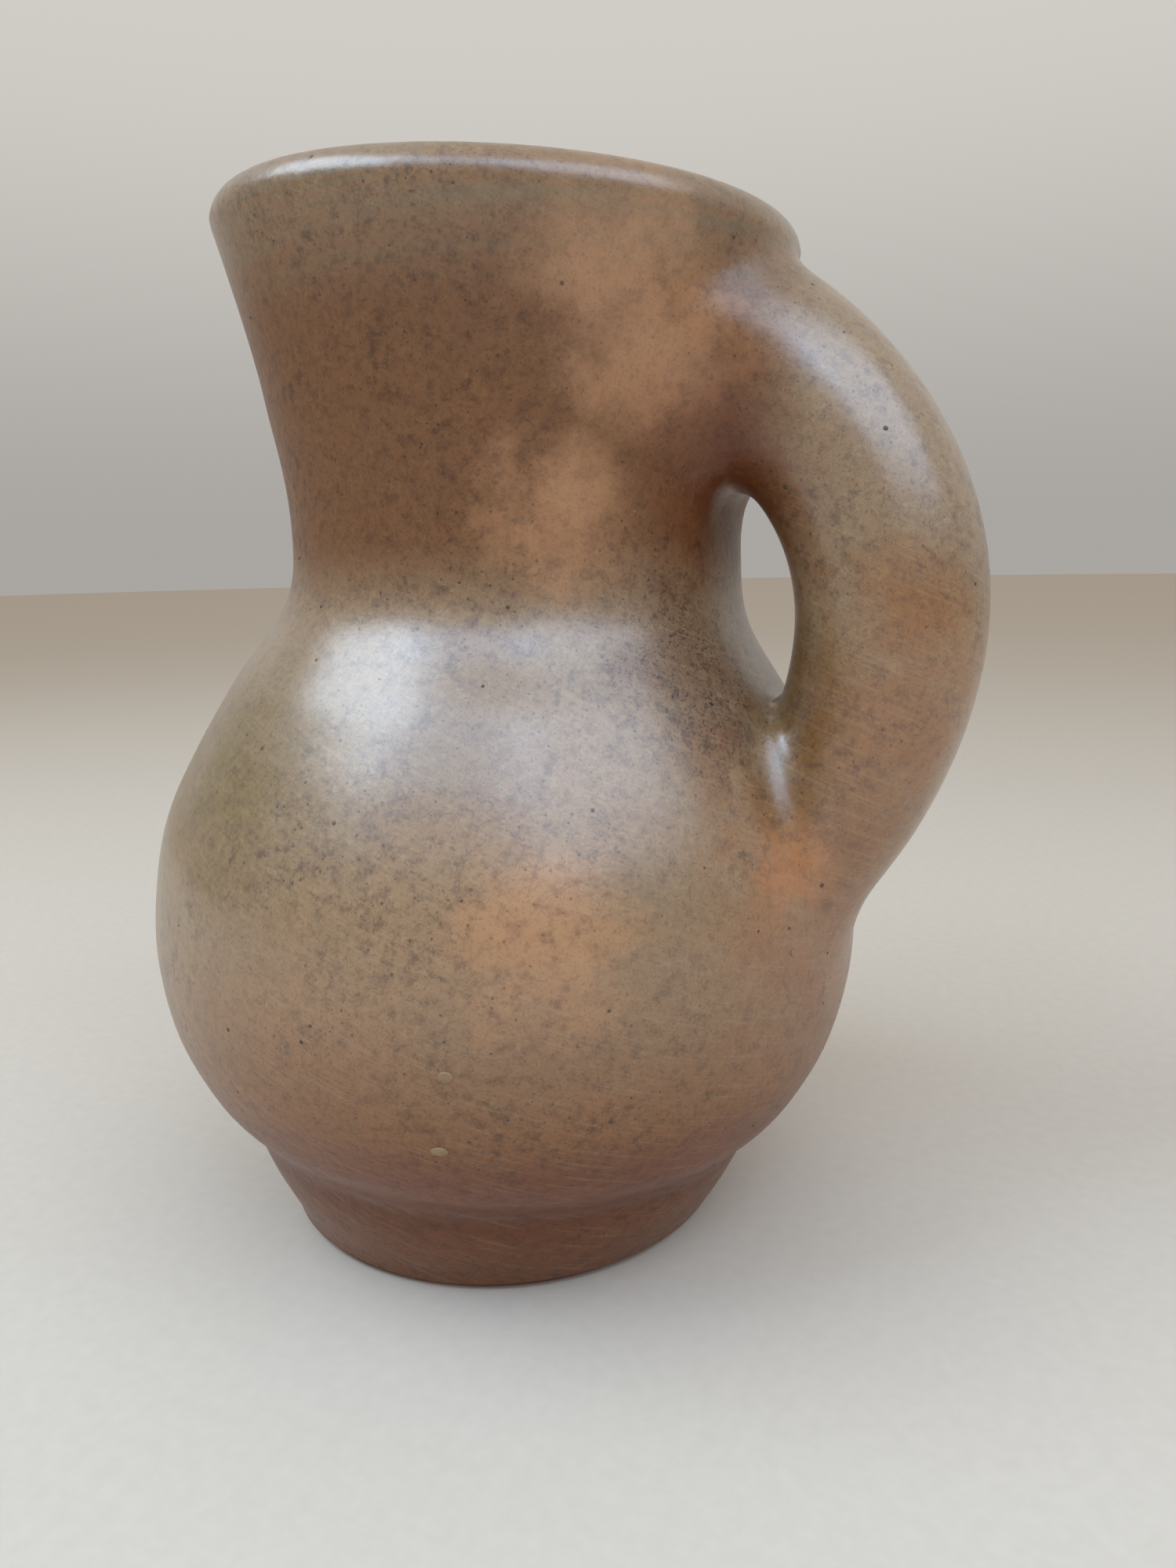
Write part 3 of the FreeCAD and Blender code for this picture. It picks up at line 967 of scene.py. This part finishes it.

# %% [markdown]
# Some marks have their own place on this jug: warm blushes, a dark smudge, olive spots,
# the corner under the lip and the handle's root. Each is a middle and a reach in metres,
# chosen one by one, so they belong to the outside finish and not to the shared effect.

# %% Marks on the outside
MARKS = {
    "warm": [
        ((0.0575, -0.0459, 0.2270), 0.021), ((0.0600, -0.0357, 0.2150), 0.022),
        ((0.0448, -0.0444, 0.1800), 0.018), ((0.0535, -0.0745, 0.0970), 0.020),
        ((0.0895, -0.0295, 0.1030), 0.012),
    ],
    # Real dark specks and veins, with painted shade in the crook beside the handle's lower joint.
    "dark": [
        ((0.0640, -0.0300, 0.1480), 0.022), ((0.0700, -0.0290, 0.1395), 0.020),
        ((0.0745, -0.0170, 0.1440), 0.015),
    ],
    "olive": [
        ((0.0850, -0.0220, 0.1225), 0.014), ((0.0869, -0.0171, 0.1348), 0.016),
        # The wide spot low on the left belly is olive mottling and painted shade on that side.
        ((0.0890, -0.0150, 0.1480), 0.015), ((-0.0760, -0.0480, 0.0820), 0.050),
        ((-0.0236, -0.0717, 0.1272), 0.030),
    ],
    # Painted shade in the corner under the handle's upper joint.
    "corner": [((0.0719, -0.0190, 0.1900), 0.026)],
    "root": [
        ((0.0950, -0.0200, 0.1050), 0.040), ((0.1080, -0.0170, 0.1320), 0.032),
        ((0.1124, -0.0201, 0.1580), 0.018),
    ],
}


def new_finish(material):
    """A material's tree and shader, and the place on the piece."""
    material.use_nodes = True
    tree = material.node_tree
    shader = tree.nodes["Principled BSDF"]
    place = node(tree, "ShaderNodeTexCoord").outputs["Object"]
    return tree, shader, place


def patches(tree, place, spots):
    """The strongest of several soft patches."""
    total = None
    for middle, reach in spots:
        one = use(tree, patch_effect, place, middle=middle, reach=reach)[0]
        total = one if total is None else math_node(tree, "MAXIMUM", total, one)
    return total


tree, shader, place = new_finish(satin_glaze)
mark = {}
for name, spots in MARKS.items():
    mark[name] = patches(tree, place, spots)
    print(name, "marks:", len(spots))
warm = product(tree, mark["warm"], 0.75)

# %% [markdown]
# Other changes follow the height. The foot, the low belly, the crease over the foot and the
# neck get painted shade: they are darker where these faces turn down or lie in the crease.
# The lip gets brush marks, because the jug was dipped and brushed while it turned. A belt is
# the place where a few soft steps are up together. The neck's belt leaves out the handle, and
# fades on the lip and on the warm marks.


# %% Belts round the jug
def belt(tree, *steps):
    """Where all of some soft steps are up; a step is a value, a low and a high."""
    total = step_up(tree, *steps[0])
    for step in steps[1:]:
        total = product(tree, total, step_up(tree, *step))
    return total


split = node(tree, "ShaderNodeSeparateXYZ")
tree.links.new(place, split.inputs[0])
across, tall = split.outputs["X"], split.outputs["Z"]
# Painted shade: the foot, low belly, crease and neck belts darken the glaze where shade falls.
foot_shade = belt(tree, (tall, 0.036, 0.022))
low_belly_shade = belt(tree, (tall, 0.110, 0.035))
crease_shade = belt(tree, (tall, 0.058, 0.040), (tall, 0.016, 0.032))
lip_belt = belt(tree, (tall, 0.218, 0.248))
neck_shade = belt(tree, (tall, 0.155, 0.177), (across, 0.092, 0.072))
for other, share in ((lip_belt, -0.7), (warm, -0.75)):
    neck_shade = product(tree, neck_shade, product(tree, other, share, 1.0))
print("belts: foot, low belly, crease, lip and neck")

# %% [markdown]
# The colour starts from the mottled glaze. Belts and marks tint it by multiplying. On the foot,
# the low belly, the crease, the neck and in the corner under the lip this tint is painted shade.
# The dark marks are real specks and veins with painted shade beside the handle's lower joint.
# The root and olive marks tint it as a thinner or richer coat does, and the wide olive spot on
# the left belly adds painted shade too. Only the warm marks, the brush marks on the lip and the
# fine pale scratches cover it with a colour of their own.

# %% Outside glaze: colour
dark = mark["dark"]
glaze = use(
    tree, glaze_effect, place, warmth=warm, specks=0.5, pits=0.3,
    smudging=product(tree, dark, 0.2, 0.8),
    veins=product(tree, dark, 0.5, 0.36),
)
brush = use(tree, streak_effect, place, length=0.045, height=0.0011, low=0.45, high=0.62)[0]
slant = node(tree, "ShaderNodeMapping")
slant.inputs["Rotation"].default_value = (0.15, -0.38, 0.0)
tree.links.new(place, slant.inputs[0])
scratches = use(
    tree, streak_effect, slant.outputs[0], length=0.016, height=0.0006,
    low=0.5, high=0.7, seed=4.0,
)[0]
brushed = product(tree, brush, lip_belt)
faint = product(tree, neck_shade, -0.10, 0.11)
shade = glaze["Colour"]
# Painted shade: the foot, low belly, crease, neck and corner tints; the dark tint and the wide olive
# spot are partly painted shade.
for area, share, tint, blend in (
    (low_belly_shade, 0.9, (222, 171, 116), "MULTIPLY"), (foot_shade, 0.85, (210, 178, 106), "MULTIPLY"),
    (crease_shade, 0.8, (214, 174, 140), "MULTIPLY"), (neck_shade, 0.8, (192, 146, 108), "MULTIPLY"),
    (mark["corner"], 0.65, (206, 146, 104), "MULTIPLY"),
    (mark["root"], 0.7, (244, 186, 102), "MULTIPLY"), (dark, 0.8, (208, 192, 190), "MULTIPLY"),
    (mark["olive"], 0.8, (218, 220, 176), "MULTIPLY"), (warm, 0.35, (204, 140, 90), "MIX"),
    (brushed, 0.35, (120, 118, 92), "MIX"), (scratches, faint, (196, 176, 140), "MIX"),
):
    shade = mixed(tree, product(tree, area, share), shade, colour(*tint), blend)
tree.links.new(shade, shader.inputs["Base Color"])
print("the outside has", len(tree.nodes), "nodes")

# %% [markdown]
# Where the glaze pooled thick its top has turned glassy, which a clear coat over the satin
# base shows. On the neck, the low belly and the dark marks it lies thin and stays dull.

# %% Outside glaze: shine and relief
SATIN_IOR, GLASSY_IOR, GLASSY_ROUGHNESS = 1.45, 1.75, 0.3
MOST_COAT, COAT_LOSS = 0.9, 0.85


def raised(tree, shader, height, strength, depth):
    bump = node(tree, "ShaderNodeBump")
    bump.inputs["Strength"].default_value = strength
    bump.inputs["Distance"].default_value = depth
    link_all(tree, (height, bump.inputs["Height"]), (bump.outputs[0], shader.inputs["Normal"]))


tree.links.new(glaze["Roughness"], shader.inputs["Roughness"])
shader.inputs["IOR"].default_value = SATIN_IOR
shader.inputs["Coat IOR"].default_value = GLASSY_IOR
shader.inputs["Coat Roughness"].default_value = GLASSY_ROUGHNESS
thin = math_node(tree, "MAXIMUM", neck_shade, low_belly_shade)
thin = math_node(tree, "MAXIMUM", thin, product(tree, dark, 0.55))
thick = product(tree, thin, -COAT_LOSS, MOST_COAT)
tree.links.new(thick, shader.inputs["Coat Weight"])
raised(tree, shader, glaze["Height"], 0.6, 0.00012)
print("clear coat from", round(MOST_COAT - COAT_LOSS, 2), "to", MOST_COAT)

# %% [markdown]
# The inside was poured full and emptied again, so its coat is thinner, browner and shows
# the turning rings. The small beads are the same glaze with grit in it, so they are dark;
# the few large ones are almost free of it and pale.


# %% Inside glaze and beads
def glazed(material, ground, warm, **values):
    """A finish straight from the mottled glaze."""
    tree, shader, place = new_finish(material)
    glaze = use(tree, glaze_effect, place, ground=colour(*ground), warm=colour(*warm), **values)
    tree.links.new(glaze["Colour"], shader.inputs["Base Color"])
    tree.links.new(glaze["Roughness"], shader.inputs["Roughness"])
    return tree, shader, place


glazed(bead_glaze, (88, 64, 48), (104, 76, 56), smudging=0.6, specks=0.3, pits=0.0)
pale_glaze = bpy.data.materials.new("pale bead glaze")
glazed(pale_glaze, (152, 122, 88), (164, 128, 90), smudging=0.3, specks=0.3, pits=0.0)
tree, shader, place = glazed(
    inside_glaze, (146, 124, 92), (160, 120, 86), smudging=0.7, specks=0.6, pits=0.25
)
rings = use(tree, streak_effect, place, length=0.2, height=0.005, low=0.35, high=0.65)[0]
plain = shader.inputs["Base Color"].links[0].from_socket
ring_share = product(tree, rings, 0.3)
shade = mixed(tree, ring_share, plain, colour(112, 88, 64))
tree.links.new(shade, shader.inputs["Base Color"])
shader.inputs["IOR"].default_value = 1.48
shader.inputs["Coat Roughness"].default_value = 0.2
shader.inputs["Coat Weight"].default_value = 0.3
raised(tree, shader, rings, 0.5, 0.0004)
print("inside glaze has", len(tree.nodes), "nodes")

# %% [markdown]
# Under the glaze is red-brown clay, seen at the wiped foot and underneath. It is matt,
# sandy and scored with fine rings from the wheel and the trimming tool.

# %% Bare clay
bare_clay = bpy.data.materials.new("bare clay")
tree, shader, place = new_finish(bare_clay)
grain = use(tree, cloud_effect, place, size=0.0012, detail=4.0, low=0.4, high=0.7)[0]
broad = use(tree, cloud_effect, place, size=0.02, detail=3.0, low=0.35, high=0.7, seed=2.0)[0]
sand = use(tree, dot_effect, place, spacing=0.0018, radius=0.0004, share=0.4)[0]
rings = use(tree, streak_effect, place, length=0.06, height=0.0009)[0]
shade = mixed(tree, broad, colour(126, 84, 62), colour(146, 102, 76))
for area, share, tint in ((grain, 0.4, (96, 62, 46)), (sand, 0.6, (186, 156, 124))):
    shade = mixed(tree, product(tree, area, share), shade, colour(*tint))
rough = product(tree, grain, 0.12, 0.8)
link_all(tree, (shade, shader.inputs["Base Color"]), (rough, shader.inputs["Roughness"]))
raised(tree, shader, math_node(tree, "ADD", rings, grain), 0.6, 0.00015)
print("bare clay has", len(tree.nodes), "nodes")

# %% [markdown]
# The two coats and the beads ride on the jug's only body. The skin stands for the CAD's
# outer coat and for the two pads of joining clay, because it flows over both. Every clay
# solid from the CAD stays and gets the bare clay.

# %% Give the pieces their finishes and their body, and hide the replaced parts
glaze_skin.data.materials.append(satin_glaze)
pale_beads.data.materials.append(pale_glaze)
COATED = ("outer_glaze", "upper_joint", "lower_joint")
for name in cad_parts:
    kept = bpy.data.objects[name]
    kept.data.materials.clear()
    kept.data.materials.append(bare_clay)
for piece in (glaze_skin, inner_coat, glaze_beads, pale_beads):
    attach(piece, "root")
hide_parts(*COATED)
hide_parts("inner_glaze")
print("clay solids kept:", sorted(set(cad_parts) - {*COATED, "inner_glaze"}))

# %% [markdown]
# The jug stands on a plain pale floor: a wide flat disc, very faintly mottled, and set a
# hair below the foot so that the two surfaces never share a plane.

# %% Floor
FLOOR_REACH, FLOOR_GAP = 6.0, 0.0002
bm = bmesh.new()
bmesh.ops.create_circle(bm, cap_ends=True, segments=96, radius=FLOOR_REACH)
for v in bm.verts:
    v.co.z -= FLOOR_GAP
floor_disc = as_object("studio_floor", bm)
floor_paint = bpy.data.materials.new("pale floor")
tree, shader, place = new_finish(floor_paint)
mottle = use(tree, cloud_effect, place, size=0.004, detail=3.0, low=0.2, high=0.8)[0]
shade = mixed(tree, mottle, colour(215, 202, 185), colour(220, 207, 190))
tree.links.new(shade, shader.inputs["Base Color"])
shader.inputs["Roughness"].default_value = 0.9
floor_disc.data.materials.append(floor_paint)
print("floor reaches", FLOOR_REACH, "m")

# %% [markdown]
# The sky fills the shade. Its strength depends on the direction alone: dim in front, paler
# at the horizon behind the jug, brightest higher up there, and in between overhead. Its
# colour is slightly warm.

# %% Sky
SKY_FRONT, SKY_BACK, SKY_RISE, SKY_HIGH = 0.30, 0.40, 0.24, 0.55
SKY_COLOUR = (1.0, 0.96, 0.90, 1)
world = bpy.data.worlds.new("pale sky")
bpy.context.scene.world = world
world.use_nodes = True
sky = world.node_tree
glow = sky.nodes["Background"]
glow.inputs["Color"].default_value = SKY_COLOUR
way = node(sky, "ShaderNodeTexCoord").outputs["Generated"]
split = node(sky, "ShaderNodeSeparateXYZ")
behind = step_up(sky, split.outputs["Y"], -0.1, 0.6)
above = step_up(sky, split.outputs["Z"], 0, 0.4)
gain = product(sky, above, SKY_RISE, SKY_BACK - SKY_FRONT)
around = product(sky, behind, gain, SKY_FRONT)
high = step_up(sky, split.outputs["Z"], 0.3, 0.8)
rest = math_node(sky, "SUBTRACT", SKY_HIGH, around)
level = product(sky, high, rest, around)
link_all(sky, (way, split.inputs[0]), (level, glow.inputs["Strength"]))
print("sky:", SKY_FRONT, "in front,", SKY_BACK, "behind,", SKY_BACK + SKY_RISE, "above that")

# %% [markdown]
# Three bluish softboxes light the jug from the left, the front and the right. They give
# the long shine on the shoulder and along the handle.

# %% Softboxes
AIM_HEIGHT = 0.14


def softbox(name, turn, rise, far, width, depth, watts, tint):
    """A soft rectangular lamp that looks at the jug from a turn and a rise in degrees."""
    lamp_data = bpy.data.lights.new(name, "AREA")
    lamp_data.shape = "RECTANGLE"
    lamp_data.size, lamp_data.size_y = width, depth
    lamp_data.energy = watts
    lamp_data.color = tint
    lamp = in_scene(name, lamp_data)
    turn, rise = math.radians(turn), math.radians(rise)
    way = Vector((math.cos(turn) * math.cos(rise), math.sin(turn) * math.cos(rise), math.sin(rise)))
    lamp.location = Vector((0, 0, AIM_HEIGHT)) + way * far
    lamp.rotation_euler = way.to_track_quat("Z", "Y").to_euler()
    print(name, [round(v, 2) for v in lamp.location], "m")


softbox("left softbox", -142, 48, 1.2, 0.85, 0.55, 7.8, (0.68, 0.84, 1.0))
softbox("front softbox", -88, 49, 1.2, 1.2, 0.45, 4.9, (0.42, 0.66, 1.0))
softbox("right softbox", -26, 43, 1.2, 1.1, 0.75, 7.5, (0.6, 0.77, 1.0))
bpy.context.scene.view_settings.view_transform = "Standard"

# %% [markdown]
# The camera is close, as in the photograph: 0.3 m from the jug's axis, at the neck's
# height, and a little to the handle's side. A wide lens so near makes the foot look small.
# Its place and its three axes were fitted to the jug's outline.

# %% Camera
LENS, SENSOR = 27.0, 36.0
CAMERA_PLACE = (0.14977, -0.27078, 0.17305)
CAMERA_RIGHT = (0.91416, 0.40491, -0.01896)
CAMERA_UP = (-0.06293, 0.18797, 0.98016)
CAMERA_BACK = (0.40044, -0.89483, 0.19732)
camera_data = bpy.data.cameras.new("camera")
camera_data.lens = LENS
camera_data.sensor_width = SENSOR
camera = in_scene("camera", camera_data)
facing = Matrix((CAMERA_RIGHT, CAMERA_UP, CAMERA_BACK)).transposed().to_4x4()
camera.matrix_world = Matrix.Translation(CAMERA_PLACE) @ facing
bpy.context.scene.camera = camera
print("camera height above the floor:", round(camera.matrix_world.translation.z, 3), "m")

# %% [markdown]
# Last, the node trees are laid out to be read from left to right: every node stands in a
# column left of the nodes that it feeds.

# %% Lay out the node trees
COLUMN, ROW = 240, 260


def lay_out(tree):
    """Puts a tree's nodes in columns, worked out by following its links."""
    column = {n.name: 0 for n in tree.nodes}
    for _ in tree.nodes:
        for link in tree.links:
            a, b = link.from_node.name, link.to_node.name
            column[a] = max(column[a], column[b] + 1)
    filled = {}
    for n in tree.nodes:
        x = column[n.name]
        filled[x] = filled.get(x, 0) + 1
        n.location = (-COLUMN * x, -ROW * filled[x])


finishes = (satin_glaze, inside_glaze, bead_glaze, pale_glaze, bare_clay, floor_paint)
for tree in (*bpy.data.node_groups, *(m.node_tree for m in finishes), sky):
    lay_out(tree)
print("nodes in the outside glaze:", len(satin_glaze.node_tree.nodes))
